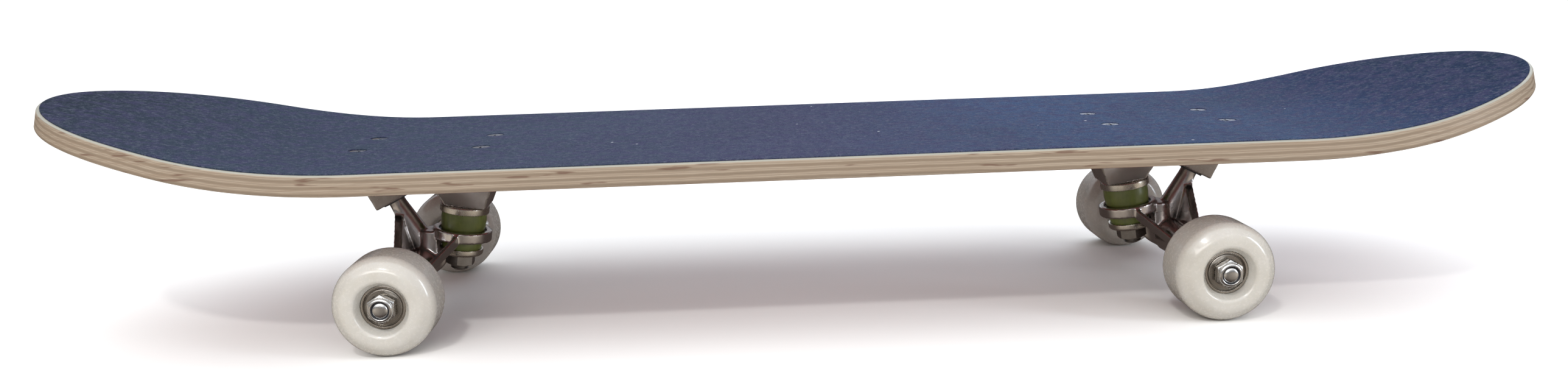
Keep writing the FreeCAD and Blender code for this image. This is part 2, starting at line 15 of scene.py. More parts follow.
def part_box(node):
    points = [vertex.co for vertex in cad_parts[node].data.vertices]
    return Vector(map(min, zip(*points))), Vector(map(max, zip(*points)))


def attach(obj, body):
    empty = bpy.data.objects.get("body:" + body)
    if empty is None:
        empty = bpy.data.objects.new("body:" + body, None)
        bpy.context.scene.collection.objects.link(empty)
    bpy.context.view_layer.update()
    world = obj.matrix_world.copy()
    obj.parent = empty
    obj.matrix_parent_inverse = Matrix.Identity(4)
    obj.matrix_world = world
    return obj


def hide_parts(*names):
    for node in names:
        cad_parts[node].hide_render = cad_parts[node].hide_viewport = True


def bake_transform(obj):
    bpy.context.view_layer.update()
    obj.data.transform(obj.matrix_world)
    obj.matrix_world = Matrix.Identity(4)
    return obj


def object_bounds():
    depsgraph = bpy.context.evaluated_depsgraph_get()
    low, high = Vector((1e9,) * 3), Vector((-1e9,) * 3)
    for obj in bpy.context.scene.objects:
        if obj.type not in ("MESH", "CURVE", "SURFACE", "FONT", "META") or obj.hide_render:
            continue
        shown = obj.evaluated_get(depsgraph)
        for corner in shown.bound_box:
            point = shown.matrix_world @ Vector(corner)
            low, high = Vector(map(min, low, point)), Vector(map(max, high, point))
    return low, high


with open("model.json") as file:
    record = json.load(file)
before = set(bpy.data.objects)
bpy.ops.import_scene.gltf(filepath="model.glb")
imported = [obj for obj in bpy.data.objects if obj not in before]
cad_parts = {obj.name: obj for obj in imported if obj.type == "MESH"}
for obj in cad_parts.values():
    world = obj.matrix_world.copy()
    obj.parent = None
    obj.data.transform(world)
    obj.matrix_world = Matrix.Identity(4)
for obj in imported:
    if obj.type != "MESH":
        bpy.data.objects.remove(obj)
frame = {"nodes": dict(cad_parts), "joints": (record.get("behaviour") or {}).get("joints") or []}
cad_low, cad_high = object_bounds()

MM = 0.001
UP = Vector((0, 0, 1))

# ---- camera: close to the board's left side, a little above it ---------------------------------------
CAMERA_PLACE = Vector((-38.3, -668.6, 190.2)) * MM
CAMERA_YAW = math.radians(-2.45)
CAMERA_PITCH = math.radians(-11.29)
CAMERA_ROLL = math.radians(-1.71)
CAMERA_LENS = 28.27
CAMERA_SENSOR = 36.0

# ---- studio: name, place, size, watts and colour of each lamp; sky colours from low (0) to high (1) ---
SUN = {"place": (-0.4, -0.4, 2.0), "strength": 1.25, "angle": math.radians(100)}
LIGHTS = (
    ("front", (-0.7, -1.9, 1.1), (1.5, 0.5), 11, (1.0, 0.975, 0.94)),
    ("lamp", (-0.42, -1.05, 1.25), (0.15, 0.08), 5.5, (1.0, 0.99, 0.97)),
    ("window", (1.9, -0.9, 0.7), (0.35, 1.1), 14, (0.84, 0.91, 1.0)),
    ("back", (0.9, 1.7, 1.2), (1.6, 0.7), 12, (0.80, 0.89, 1.0)),
)
FLOOR_HALF = 25.0
GROUND_DARK = (0.075, 0.058, 0.052)
GROUND_LIGHT = (0.78, 0.69, 0.59)
WORLD_STEPS = ((0.0, (0.0, 0.0, 0.0)), (0.47, (0.0, 0.0, 0.0)), (0.56, (0.10, 0.10, 0.11)),
               (0.70, (0.72, 0.74, 0.77)), (1.0, (1.02, 1.06, 1.12)))

# ---- colours that change over a surface -------------------------------------------------------------
# Painted light on the grip along the board: greyer and darker at the nose, a bright blue sheen in the middle
# and right, dark painted shade on the tail kick.
GRIP_PAINTED_LIGHT = ((0.0, (0.022, 0.028, 0.040)), (0.12, (0.036, 0.050, 0.076)), (0.35, (0.052, 0.066, 0.102)),
             (0.5, (0.056, 0.062, 0.112)), (0.68, (0.046, 0.074, 0.146)), (0.80, (0.050, 0.078, 0.150)),
             (0.90, (0.019, 0.032, 0.082)), (1.0, (0.006, 0.018, 0.048)))
WOOD_LIGHT = (0.344, 0.276, 0.204)
WOOD_DARK = (0.221, 0.168, 0.117)
WOOD_STREAK = (0.249, 0.177, 0.117)
WOOD_FIBRE = (0.196, 0.136, 0.087)
WOOD_GLUE = (0.151, 0.102, 0.064)
WOOD_BURNT = (0.13, 0.065, 0.040)
# Painted highlight along the upper rim of the wood edge: its colour on the next line, and the depth of its
# band two lines down.
WOOD_RIM_HIGHLIGHT = (0.305, 0.296, 0.249)
STAIN = (0.20, 0.035, 0.025)
RIM_HIGHLIGHT_BAND = 0.6

# ---- deck, as in the design -------------------------------------------------------------------------
HALF_LENGTH = 396.9
HALF_WIDTH = 98.4
TOP_Z = 90.0
PLY = 1.5
PLY_COUNT = 7
THICK = PLY * PLY_COUNT
GRIP = 0.8
NOSE_KICK = {"start": 218.2, "radius": 360.0, "angle": math.radians(14.13), "round": 251.6, "p": 2.50}
TAIL_KICK = {"start": 238.9, "radius": 318.6, "angle": math.radians(14.27), "round": 285.3, "p": 1.94}
PLAN_Q = 1.98
CONCAVE = 1.5               # rise of the rails over the flat middle
CONCAVE_START = 28.0
LOWER_RIM_R = 1.8
UPPER_RIM_R = 1.3
GRIP_INSET = 0.35
BOLT_HEAD_R = 4.6
BOLT_HOLE_R = 2.7
BOLT_SINK_Z = (87.9, 90.45)   # where a countersink starts and ends

# ---- trucks and wheels ------------------------------------------------------------------------------
KINGPIN_TILT = math.radians(9.4)
KINGPIN_R = 4.76
KINGPIN_LOW = -20.4
KINGPIN_HEAD = (32.6, 37.8)
KINGPIN_HEX = 14.3            # across flats, head and nut
BOSS_FACE = 16.8
TOP_CUP_LIP = 12.3
TOP_CUP_R = 13.2
BOTTOM_CUP_FACE = -11.3
BOTTOM_CUP_LIP = -7.6
BOTTOM_CUP_R = 11.8
CUP_SHEET = 1.2
TOP_BUSHING = (1.1, 15.6, 11.9)
LOW_BUSHING = (-10.1, -1.1, 10.5)
NUT_HEX_LOW = -17.2
NUT_COLLAR_LOW = -18.2
AXLE_R = 3.97
AXLE_HALF = 96.6
NUT_LOW = 91.0
NUT_HEX_HIGH = 94.6
NUT_HIGH = 96.2
AXLE_HEX = 12.7
WHEEL_MIDDLE = 79.0
WHEEL_R = 25.0
WHEEL_HALF_WIDTH = 16.0
WHEEL_CORE_R = 9.4
BEARING_R = 11.0


# ---- small mesh tools -------------------------------------------------------------------------------
def new_object(name, mesh):
    obj = bpy.data.objects.new(name, mesh)
    bpy.context.scene.collection.objects.link(obj)
    return obj


def smooth(mesh, angle=32):
    """Smooth shading with edges sharper than the angle left crisp."""
    mesh.shade_smooth()
    mesh.set_sharp_from_angle(angle=math.radians(angle))


def applied(obj):
    """The object with its modifiers made permanent."""
    graph = bpy.context.evaluated_depsgraph_get()
    mesh = bpy.data.meshes.new_from_object(obj.evaluated_get(graph), preserve_all_data_layers=True,
                                           depsgraph=graph)
    obj.modifiers.clear()
    obj.data = mesh
    return obj


def rounded(corners, steps=5):
    """Closed profile from (radius, height, fillet) corners, each fillet an arc."""
    points = []
    count = len(corners)
    for k, (x, y, fillet) in enumerate(corners):
        here = Vector((x, y))
        before = Vector(corners[k - 1][:2]) - here
        after = Vector(corners[(k + 1) % count][:2]) - here
        if fillet <= 0 or before.length < 1e-9 or after.length < 1e-9:
            points.append((x, y))
            continue
        half = before.angle(after) / 2
        if half > math.radians(88):
            points.append((x, y))
            continue
        back = min(fillet / math.tan(half), 0.49 * before.length, 0.49 * after.length)
        radius = back * math.tan(half)
        centre = here + (before.normalized() + after.normalized()).normalized() * (radius / math.sin(half))
        first = here + before.normalized() * back - centre
        last = here + after.normalized() * back - centre
        for step in range(steps + 1):
            share = step / steps
            turn = first.lerp(last, share).normalized() * radius
            points.append(tuple(centre + turn))
    return points


def hexagon(across_flats, cap=99.0):
    """Radius of a hexagon against angle, cut back to a round of radius cap."""
    apothem = across_flats / 2

    def radius(turn):
        beside = (turn + math.pi / 6) % (math.pi / 3) - math.pi / 6
        return min(apothem / math.cos(beside), cap)

    return radius


def lathe(name, profile, place, axis, segments=96, angle=32):
    """Closed profile of (radius, height) in millimetres turned about an axis; a radius may be a function."""
    mesh = bpy.data.meshes.new(name)
    build = bmesh.new()
    turn_to = Vector(axis).normalized()
    to_axis = UP.rotation_difference(turn_to).to_matrix()
    rings = []
    for radius, height in profile:
        ring = []
        for k in range(segments):
            turn = 2 * math.pi * k / segments
            reach = radius(turn) if callable(radius) else radius
            local = Vector((reach * math.cos(turn), reach * math.sin(turn), height)) * MM
            ring.append(build.verts.new(Vector(place) + to_axis @ local))
        rings.append(ring)
    for k, ring in enumerate(rings):
        following = rings[(k + 1) % len(rings)]
        for j in range(segments):
            nearby = (j + 1) % segments
            build.faces.new((ring[j], ring[nearby], following[nearby], following[j]))
    bmesh.ops.remove_doubles(build, verts=build.verts, dist=1e-7)
    bmesh.ops.recalc_face_normals(build, faces=build.faces)
    build.to_mesh(mesh)
    build.free()
    smooth(mesh, angle)
    return new_object(name, mesh)


def finish_piece(obj, body, slot, material, *nodes):
    """Material, body and the CAD nodes that a piece stands for; the slot argument is not used."""
    obj.data.materials.clear()
    obj.data.materials.append(material)
    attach(obj, body)
    if nodes:
        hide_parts(*nodes)
    return obj


# ---- shader tools -----------------------------------------------------------------------------------
class Shader:
    """A principled material and short ways to add pattern nodes to it, all in object coordinates."""

    def __init__(self, name, **sockets):
        self.material = bpy.data.materials.new(name)
        self.material.use_nodes = True
        self.tree = self.material.node_tree
        self.surface = self.tree.nodes["Principled BSDF"]
        for socket, value in sockets.items():
            self.surface.inputs[socket.replace("_", " ")].default_value = value
        self.place = self.tree.nodes.new("ShaderNodeTexCoord").outputs["Object"]
        self.normal = None

    def node(self, kind, inputs=None, **settings):
        made = self.tree.nodes.new(kind)
        for key, value in settings.items():
            setattr(made, key, value)
        for key, value in (inputs or {}).items():
            self.feed(made.inputs[key], value)
        return made

    def feed(self, socket, value):
        if isinstance(value, bpy.types.NodeSocket):
            self.tree.links.new(value, socket)
        else:
            socket.default_value = value

    def stretched(self, x, y, z):
        scale = self.node("ShaderNodeVectorMath", {0: self.place, 1: (x, y, z)}, operation="MULTIPLY")
        return scale.outputs[0]

    def noise(self, scale, detail=3.0, rough=0.55, where=None):
        made = self.node("ShaderNodeTexNoise", {"Vector": where or self.place, "Scale": scale,
                                                "Detail": detail, "Roughness": rough})
        return made.outputs["Fac"]

    def cells(self, scale, output="Distance", randomness=1.0):
        made = self.node("ShaderNodeTexVoronoi", {"Vector": self.place, "Scale": scale,
                                                  "Randomness": randomness})
        return made.outputs[output]

    def span(self, value, low, high, to_low=0.0, to_high=1.0):
        made = self.node("ShaderNodeMapRange", {"Value": value, "From Min": low, "From Max": high,
                                                "To Min": to_low, "To Max": to_high})
        return made.outputs["Result"]

    def maths(self, operation, first, second=0.0):
        return self.node("ShaderNodeMath", {0: first, 1: second}, operation=operation).outputs[0]

    def blend(self, share, first, second):
        made = self.node("ShaderNodeMix", data_type="RGBA")
        self.feed(made.inputs["Factor"], share)
        self.feed(made.inputs["A"], first if isinstance(first, bpy.types.NodeSocket) else (*first, 1))
        self.feed(made.inputs["B"], second if isinstance(second, bpy.types.NodeSocket) else (*second, 1))
        return made.outputs["Result"]

    def ramp(self, share, stops):
        """Colour against a share from 0 to 1, through (share, colour) stops."""
        made = self.node("ShaderNodeValToRGB", {"Fac": share})
        elements = made.color_ramp.elements
        elements[0].position, elements[0].color = stops[0][0], (*stops[0][1], 1)
        elements[1].position, elements[1].color = stops[-1][0], (*stops[-1][1], 1)
        for place, colour in stops[1:-1]:
            elements.new(place).color = (*colour, 1)
        return made.outputs["Color"]

    def attribute(self, name):
        return self.node("ShaderNodeAttribute", attribute_name=name).outputs["Fac"]

    def bump(self, height, strength, depth_mm):
        made = self.node("ShaderNodeBump", {"Height": height, "Strength": strength,
                                            "Distance": depth_mm * MM})
        if self.normal is not None:
            self.tree.links.new(self.normal, made.inputs["Normal"])
        self.normal = made.outputs["Normal"]
        self.tree.links.new(self.normal, self.surface.inputs["Normal"])

    def drive(self, socket, value):
        self.feed(self.surface.inputs[socket], value)


def grip_material():
    """Blue-black grit sheet: coarse and fine grain, pale specks, and painted sheen and shade that change
    along the board.
    """
    s = Shader("grip_sheet", Roughness=0.85)
    s.surface.inputs["Specular IOR Level"].default_value = 0.015
    along = s.node("ShaderNodeSeparateXYZ", {0: s.place}).outputs["X"]
    # painted light: the grip's colour follows a painted sheen and shade gradient along the board (x)
    painted_light = s.ramp(s.span(along, -0.4, 0.4), GRIP_PAINTED_LIGHT)
    broad = s.noise(9.0, 5.0, 0.6)
    hue = s.noise(140.0, 2.0, 0.5)
    fine = s.noise(1700.0, 2.0, 0.6)
    grains = s.noise(400.0, 3.0, 0.75)
    base = s.blend(s.span(broad, 0.3, 0.7, 0.0, 0.4), painted_light, (0.030, 0.036, 0.050))
    base = s.blend(s.span(hue, 0.42, 0.62, 0.0, 0.55), base, (0.050, 0.046, 0.098))
    base = s.blend(s.span(grains, 0.49, 0.68, 0.0, 0.5), base, (0.115, 0.128, 0.165))
    base = s.blend(s.span(fine, 0.32, 0.5, 0.75, 0.0), base, (0.010, 0.013, 0.024))
    base = s.blend(speck_mask(s, 70.0, 0.06, 0.86), base, (0.50, 0.52, 0.56))
    s.drive("Base Color", base)
    s.bump(fine, 0.6, 0.35)
    s.bump(grains, 0.4, 0.4)
    return s.material


def speck_mask(s, scale, size, keep):
    """Small dots in a share of the cells of a random grid."""
    dots = s.span(s.cells(scale), size, size * 0.5)
    colour = s.cells(scale, "Color")
    pick = s.node("ShaderNodeSeparateColor", {0: colour}).outputs[0]
    return s.maths("MULTIPLY", dots, s.span(pick, keep, keep + 0.02))


def wood_material(name, stained=False):
    """Sealed maple edge: plies told apart by depth, wavy glue lines, fibres, burnt spots and a painted
    highlight along the upper rim.
    """
    s = Shader(name, Roughness=0.5)
    s.surface.inputs["Coat Weight"].default_value = 0.1
    s.surface.inputs["Coat Roughness"].default_value = 0.3
    depth = s.attribute("depth")
    wave = s.noise(1.0, 3.0, 0.6, s.stretched(22.0, 22.0, 60.0))
    wavy = s.maths("ADD", depth, s.span(wave, 0.3, 0.7, -0.45, 0.45))
    layer = s.maths("FRACT", s.maths("DIVIDE", wavy, 2 * PLY))
    from_middle = s.maths("ABSOLUTE", s.maths("SUBTRACT", layer, 0.5))
    streaks = s.noise(1.0, 5.0, 0.6, s.stretched(12.0, 60.0, 1400.0))
    fibres = s.noise(1.0, 2.0, 0.6, s.stretched(170.0, 900.0, 5200.0))
    colour = s.blend(s.span(from_middle, 0.21, 0.29), WOOD_DARK, WOOD_LIGHT)
    colour = s.blend(s.span(streaks, 0.38, 0.66, 0.0, 0.75), colour, WOOD_STREAK)
    colour = s.blend(s.span(fibres, 0.45, 0.75, 0.0, 0.4), colour, WOOD_FIBRE)
    line = s.maths("ABSOLUTE", s.maths("SUBTRACT", s.maths("FRACT", s.maths("DIVIDE", wavy, PLY)), 0.5))
    colour = s.blend(s.span(line, 0.41, 0.48, 0.0, 0.6), colour, WOOD_GLUE)
    burnt = s.noise(1.0, 2.0, 0.5, s.stretched(45.0, 45.0, 420.0))
    colour = s.blend(s.span(burnt, 0.63, 0.70, 0.0, 0.8), colour, WOOD_BURNT)
    # painted highlight: a pale band along the top of the wood edge, where the upper bevel catches the light
    colour = s.blend(s.span(depth, THICK - RIM_HIGHLIGHT_BAND - 0.3, THICK - RIM_HIGHLIGHT_BAND + 0.1), colour, WOOD_RIM_HIGHLIGHT)
    if stained:
        colour = s.blend(s.span(depth, 0.30, 0.05), colour, STAIN)
    s.drive("Base Color", colour)
    s.drive("Roughness", s.span(streaks, 0.3, 0.7, 0.42, 0.6))
    s.bump(fibres, 0.25, 0.12)
    return s.material


def cast_material():
    """Tumbled and polished aluminium casting: bright outside, with painted shade making its hollows dark,
    brown and dull.
    """
    s = Shader("cast_aluminium", Metallic=1.0, Roughness=0.24)
    broad = s.noise(42.0, 4.0, 0.6)
    grain = s.noise(900.0, 3.0, 0.6)
    wipe = s.noise(1.0, 3.0, 0.6, s.stretched(900.0, 120.0, 900.0))
    # painted shade: ambient occlusion darkens the hollows and the gaps between parts to a dark brown-grey
    open_sky = s.node("ShaderNodeAmbientOcclusion", {"Distance": 0.009}, samples=8).outputs["AO"]
    painted_hollow_shade = s.span(open_sky, 0.62, 0.22)
    colour = s.blend(s.span(broad, 0.38, 0.62), (0.66, 0.635, 0.62), (0.53, 0.49, 0.47))
    colour = s.blend(s.span(wipe, 0.5, 0.8, 0.0, 0.4), colour, (0.68, 0.67, 0.66))
    colour = s.blend(painted_hollow_shade, colour, (0.085, 0.075, 0.072))
    s.drive("Base Color", colour)
    s.drive("Roughness", s.span(broad, 0.3, 0.7, 0.17, 0.30))
    s.bump(grain, 0.08, 0.06)
    s.bump(broad, 0.08, 0.2)
    return s.material


def metal_material(name, light, dark, rough, grain_depth=0.04, tarnish=60.0):
    """Plated or ground steel with faint stains and fine scratches."""
    s = Shader(name, Metallic=1.0, Roughness=rough)
    stain = s.noise(tarnish, 4.0, 0.6)
    scratch = s.noise(1.0, 2.0, 0.6, s.stretched(2200.0, 300.0, 2200.0))
    colour = s.blend(s.span(stain, 0.35, 0.7), light, dark)
    s.drive("Base Color", colour)
    s.drive("Roughness", s.span(scratch, 0.3, 0.75, rough * 0.7, min(rough * 1.5, 1.0)))
    s.bump(scratch, 0.25, grain_depth)
    return s.material


def wheel_material():
    """Glossy off-white urethane with a little depth, faint mottling and dust on the tread."""
    s = Shader("wheel_urethane", Roughness=0.24)
    s.surface.inputs["Subsurface Weight"].default_value = 0.18
    s.surface.inputs["Subsurface Radius"].default_value = (1.0, 0.75, 0.5)
    s.surface.inputs["Subsurface Scale"].default_value = 0.004
    s.surface.inputs["Coat Weight"].default_value = 0.6
    s.surface.inputs["Coat Roughness"].default_value = 0.07
    mottle = s.noise(45.0, 4.0, 0.55)
    dust = s.noise(700.0, 3.0, 0.65)
    colour = s.blend(s.span(mottle, 0.35, 0.68), (0.51, 0.483, 0.438), (0.46, 0.428, 0.374))
    colour = s.blend(speck_mask(s, 160.0, 0.05, 0.93), colour, (0.30, 0.27, 0.23))
    s.drive("Base Color", colour)
    s.drive("Roughness", s.span(dust, 0.35, 0.8, 0.2, 0.36))
    s.bump(mottle, 0.08, 0.3)
    return s.material


def bushing_material():
    """Translucent olive urethane."""
    s = Shader("bushing_urethane", Roughness=0.32)
    s.surface.inputs["Subsurface Weight"].default_value = 0.4
    s.surface.inputs["Subsurface Radius"].default_value = (0.6, 1.0, 0.25)
    s.surface.inputs["Subsurface Scale"].default_value = 0.004
    s.surface.inputs["Coat Weight"].default_value = 0.2
    cloud = s.noise(120.0, 3.0, 0.6)
    vertical = s.noise(1.0, 2.0, 0.6, s.stretched(600.0, 600.0, 60.0))
    colour = s.blend(s.span(cloud, 0.35, 0.7), (0.118, 0.138, 0.032), (0.160, 0.185, 0.046))
    colour = s.blend(s.span(vertical, 0.45, 0.8, 0.0, 0.5), colour, (0.075, 0.090, 0.024))
    s.drive("Base Color", colour)
    s.bump(cloud, 0.1, 0.15)
    return s.material


def rubber_material(name, colour, rough):
    s = Shader(name, Roughness=rough)
    grain = s.noise(1300.0, 2.0, 0.6)
    tone = s.noise(90.0, 3.0, 0.6)
    s.drive("Base Color", s.blend(s.span(tone, 0.35, 0.7), colour, tuple(c * 1.7 for c in colour)))
    s.bump(grain, 0.15, 0.05)
    return s.material


def floor_material():
    s = Shader("pale_floor", Roughness=0.7)
    tone = s.noise(3.0, 2.0)
    s.drive("Base Color", s.blend(tone, (0.94, 0.925, 0.90), (0.96, 0.945, 0.92)))
    return s.material


def studio_world():
    """Bright ceiling, dark walls and a brown ground lit at its two sides, for the metal to reflect."""
    world = bpy.data.worlds.new("studio")
    world.use_nodes = True
    tree = world.node_tree

    def node(kind, feeds, **settings):
        made = tree.nodes.new(kind)
        for key, value in settings.items():
            setattr(made, key, value)
        for key, value in feeds.items():
            if isinstance(value, bpy.types.NodeSocket):
                tree.links.new(value, made.inputs[key])
            else:
                made.inputs[key].default_value = value
        return made

    direction = tree.nodes.new("ShaderNodeTexCoord").outputs["Generated"]
    height = node("ShaderNodeSeparateXYZ", {0: direction}).outputs["Z"]
    share = node("ShaderNodeMapRange", {"Value": height, "From Min": -1.0}).outputs["Result"]
    sky = node("ShaderNodeValToRGB", {"Fac": share})
    steps = sky.color_ramp.elements
    steps[0].position, steps[0].color = WORLD_STEPS[0][0], (*WORLD_STEPS[0][1], 1)
    steps[1].position, steps[1].color = WORLD_STEPS[-1][0], (*WORLD_STEPS[-1][1], 1)
    for place, colour in WORLD_STEPS[1:-1]:
        steps.new(place).color = (*colour, 1)
    split = node("ShaderNodeSeparateXYZ", {0: direction})
    front = node("ShaderNodeMapRange", {"Value": split.outputs["Y"], "From Min": 0.2, "From Max": -0.4})
    level = node("ShaderNodeMapRange", {"Value": height, "From Min": -0.7, "From Max": -0.2})
    aside = node("ShaderNodeMath", {0: split.outputs["X"]}, operation="ABSOLUTE").outputs[0]
    flank = node("ShaderNodeMapRange", {"Value": aside, "From Min": 0.2, "From Max": 0.65, "To Min": 0.35})
    patches = node("ShaderNodeTexNoise", {"Vector": direction, "Scale": 2.2, "Detail": 2.0}).outputs["Fac"]
    patch = node("ShaderNodeMapRange", {"Value": patches, "From Min": 0.35, "From Max": 0.62, "To Min": 0.7})
    lit = front.outputs["Result"]
    for share_of in (level, flank, patch):
        lit = node("ShaderNodeMath", {0: lit, 1: share_of.outputs["Result"]}, operation="MULTIPLY").outputs[0]
    ground = node("ShaderNodeMix", {"Factor": lit}, data_type="RGBA")
    ground.inputs["A"].default_value = (*GROUND_DARK, 1)
    ground.inputs["B"].default_value = (*GROUND_LIGHT, 1)
    below = node("ShaderNodeMapRange", {"Value": height, "From Min": 0.10, "From Max": -0.04})
    both = node("ShaderNodeMix", {"Factor": below.outputs["Result"]}, data_type="RGBA")
    tree.links.new(sky.outputs["Color"], both.inputs["A"])
    tree.links.new(ground.outputs["Result"], both.inputs["B"])
    tree.links.new(both.outputs["Result"], tree.nodes["Background"].inputs["Color"])
    return world


MATERIALS = {
    "grip": grip_material(),
    "maple_pale": wood_material("maple_pale"),
    "maple_tan": wood_material("maple_tan"),
    "maple_stained": wood_material("maple_stained", True),
    "truck_aluminium": cast_material(),
    "pivot_urethane": rubber_material("pivot_urethane", (0.02, 0.02, 0.022), 0.5),
    "dark_steel": metal_material("dark_steel", (0.34, 0.33, 0.32), (0.20, 0.18, 0.165), 0.34),
    "zinc_steel": metal_material("zinc_steel", (0.74, 0.74, 0.735), (0.60, 0.585, 0.56), 0.24),
    "cup_washer": metal_material("cup_washer", (0.74, 0.72, 0.67), (0.60, 0.55, 0.47), 0.25, 0.02, 60.0),
    "bushing_urethane": bushing_material(),
    "nylon_insert": rubber_material("nylon_insert", (0.012, 0.013, 0.018), 0.45),
    "bolt_steel": metal_material("bolt_steel", (0.24, 0.245, 0.28), (0.15, 0.15, 0.175), 0.42),
    "wheel_urethane": wheel_material(),
    "bearing_steel": metal_material("bearing_steel", (0.66, 0.63, 0.58), (0.44, 0.40, 0.355), 0.26),
    "ball_steel": metal_material("ball_steel", (0.75, 0.75, 0.76), (0.65, 0.65, 0.66), 0.1),
    "shield_steel": metal_material("shield_steel", (0.44, 0.415, 0.38), (0.29, 0.26, 0.23), 0.32),
}


# ---- deck -------------------------------------------------------------------------------------------
def top_line(kick, reach):
    """Rise of the wood's upper face at a distance from the middle, and its slope."""
    past = max(reach - kick["start"], 0.0)
    arc = kick["radius"] * math.sin(kick["angle"])
    if past <= arc:
        slope = math.asin(past / kick["radius"])
        return kick["radius"] * (1 - math.cos(slope)), slope
    rise = kick["radius"] * (1 - math.cos(kick["angle"])) + (past - arc) * math.tan(kick["angle"])
    return rise, kick["angle"]


def tip(kick, inset):
    return HALF_LENGTH - THICK * math.sin(kick["angle"]) - inset


def half_width(kick, reach, inset):
    share = min(max((reach - kick["round"]) / (tip(kick, inset) - kick["round"]), 0.0), 1.0)
    return (HALF_WIDTH - inset) * (1 - share ** kick["p"]) ** (1 / PLAN_Q)


def deck_point(x, across, height, inset):
    """Deck point: x along, across from -1 to 1, height above the lower face, rim drawn in by inset."""
    kick = NOSE_KICK if x < 0 else TAIL_KICK
    side = -1 if x < 0 else 1
    rise, slope = top_line(kick, abs(x))
    y = across * half_width(kick, abs(x), inset)
    down = THICK - height
    bowl = max(abs(y) - CONCAVE_START, 0.0) / (HALF_WIDTH - CONCAVE_START)
    lift = CONCAVE * bowl * bowl
    return Vector((x + side * down * math.sin(slope), y, TOP_Z + rise - down * math.cos(slope) + lift)) * MM


def stations(inset, half_count):
    """Positions along the board, closer together towards the rounded ends."""
    places = []
    for kick, side in ((NOSE_KICK, -1), (TAIL_KICK, 1)):
        end = tip(kick, inset)
        one = [side * end * math.sin(k / half_count * math.pi / 2) for k in range(half_count + 1)]
        places.append(one)
    return places[0][::-1] + places[1][1:]


def rim_inset(height):
    """How far the sanded rim draws in at a height above the lower face."""
    if height < LOWER_RIM_R:
        return LOWER_RIM_R - math.sqrt(LOWER_RIM_R ** 2 - (LOWER_RIM_R - height) ** 2)
    above = height - (THICK - UPPER_RIM_R)
    if above > 0:
        above = min(above, UPPER_RIM_R)
        return UPPER_RIM_R - math.sqrt(UPPER_RIM_R ** 2 - above ** 2)
    return 0.0


def deck_layer(name, levels, half_count=70, across_count=18):
    """Closed layer through (height, inset) levels, with the depth kept as an attribute."""
    mesh = bpy.data.meshes.new(name)
    build = bmesh.new()
    depth = build.verts.layers.float.new("depth")

    def row_of(x, height, inset, shares):
        made = []
        for share in shares:
            vert = build.verts.new(deck_point(x, share, height, inset))
            vert[depth] = height
            made.append(vert)
        return made

    even = [-1 + 2 * j / across_count for j in range(across_count + 1)]
    sheets = []
    for height, inset in (levels[0], levels[-1]):
        sheets.append([row_of(x, height, inset, even) for x in stations(inset, half_count)])
    for which, grid in enumerate(sheets):
        for a, b in zip(grid, grid[1:]):
            for j in range(across_count):
                corners = (a[j], b[j], b[j + 1], a[j + 1])
                build.faces.new(corners if which else corners[::-1])
    loops = []
    for k, (height, inset) in enumerate(levels):
        if k in (0, len(levels) - 1):
            grid = sheets[0] if k == 0 else sheets[1]
            loops.append([r[0] for r in grid] + [r[-1] for r in grid[::-1]])
        else:
            places = stations(inset, half_count)
            left = [row_of(x, height, inset, (-1,))[0] for x in places]
            right = [row_of(x, height, inset, (1,))[0] for x in places[::-1]]
            loops.append(left + right)
    for low, high in zip(loops, loops[1:]):
        for j in range(len(low)):
            nearby = (j + 1) % len(low)
            build.faces.new((low[j], low[nearby], high[nearby], high[j]))
    bmesh.ops.remove_doubles(build, verts=build.verts, dist=2e-6)
    bmesh.ops.recalc_face_normals(build, faces=build.faces)
    build.to_mesh(mesh)
    build.free()
    smooth(mesh, 40)
    return new_object(name, mesh)


def bolt_places():
    """Centres of the eight mounting bolts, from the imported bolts' own solids."""
    places = []
    for end in ("nose", "tail"):
        low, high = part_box(end + "_mounting_bolts")
        head = BOLT_HEAD_R * MM
        for x in (low[0] + head, high[0] - head):
            for y in (low[1] + head, high[1] - head):
                places.append(Vector((x, y, 0)))
    return places


def bolt_cutter():
    """Countersunk holes for all bolts, as one object."""
    mouth = BOLT_HEAD_R + 0.25
    profile = [(0.0, 70.0), (BOLT_HOLE_R, 70.0), (BOLT_HOLE_R, BOLT_SINK_Z[0]), (mouth, BOLT_SINK_Z[1]),
               (mouth, 99.0), (0.0, 99.0)]
    holes = [lathe("bolt_hole", profile, place, UP, 40) for place in bolt_places()]
    joined = bmesh.new()
    for hole in holes:
        joined.from_mesh(hole.data)
        bpy.data.objects.remove(hole)
    mesh = bpy.data.meshes.new("bolt_holes")
    joined.to_mesh(mesh)
    joined.free()
    return new_object("bolt_holes", mesh)


def make_deck():
    cutter = bolt_cutter()
    pieces = []
    for k in range(PLY_COUNT):
        low = k * PLY
        levels = [(low + PLY * j / 6, rim_inset(low + PLY * j / 6)) for j in range(7)]
        slot = "maple_stained" if k == 0 else ("maple_pale" if k % 2 else "maple_tan")
        node = "ply_%d" % (k + 1)
        pieces.append((deck_layer("deck_" + node, levels), slot, node))
    base = THICK + 0.01
    levels = [(base, GRIP_INSET + UPPER_RIM_R * 0.9), (base + GRIP * 0.7, GRIP_INSET + UPPER_RIM_R * 0.8),
              (THICK + GRIP, GRIP_INSET + UPPER_RIM_R + 0.25)]
    pieces.append((deck_layer("deck_grip", levels), "grip", "grip_tape"))
    for obj, slot, node in pieces:
        cut = obj.modifiers.new("holes", "BOOLEAN")
        cut.object = cutter
        cut.operation = "DIFFERENCE"
        cut.solver = "EXACT"
        applied(obj)
        smooth(obj.data, 40)
        finish_piece(obj, "deck", slot, MATERIALS[slot], node)
    bpy.data.objects.remove(cutter)


# ---- trucks -----------------------------------------------------------------------------------------
def joint_place(name):
    """Where the named joint sits."""
    for joint in frame["joints"]:
        if joint["name"] == name:
            return Vector(joint["pos_m"])
    raise KeyError(name)


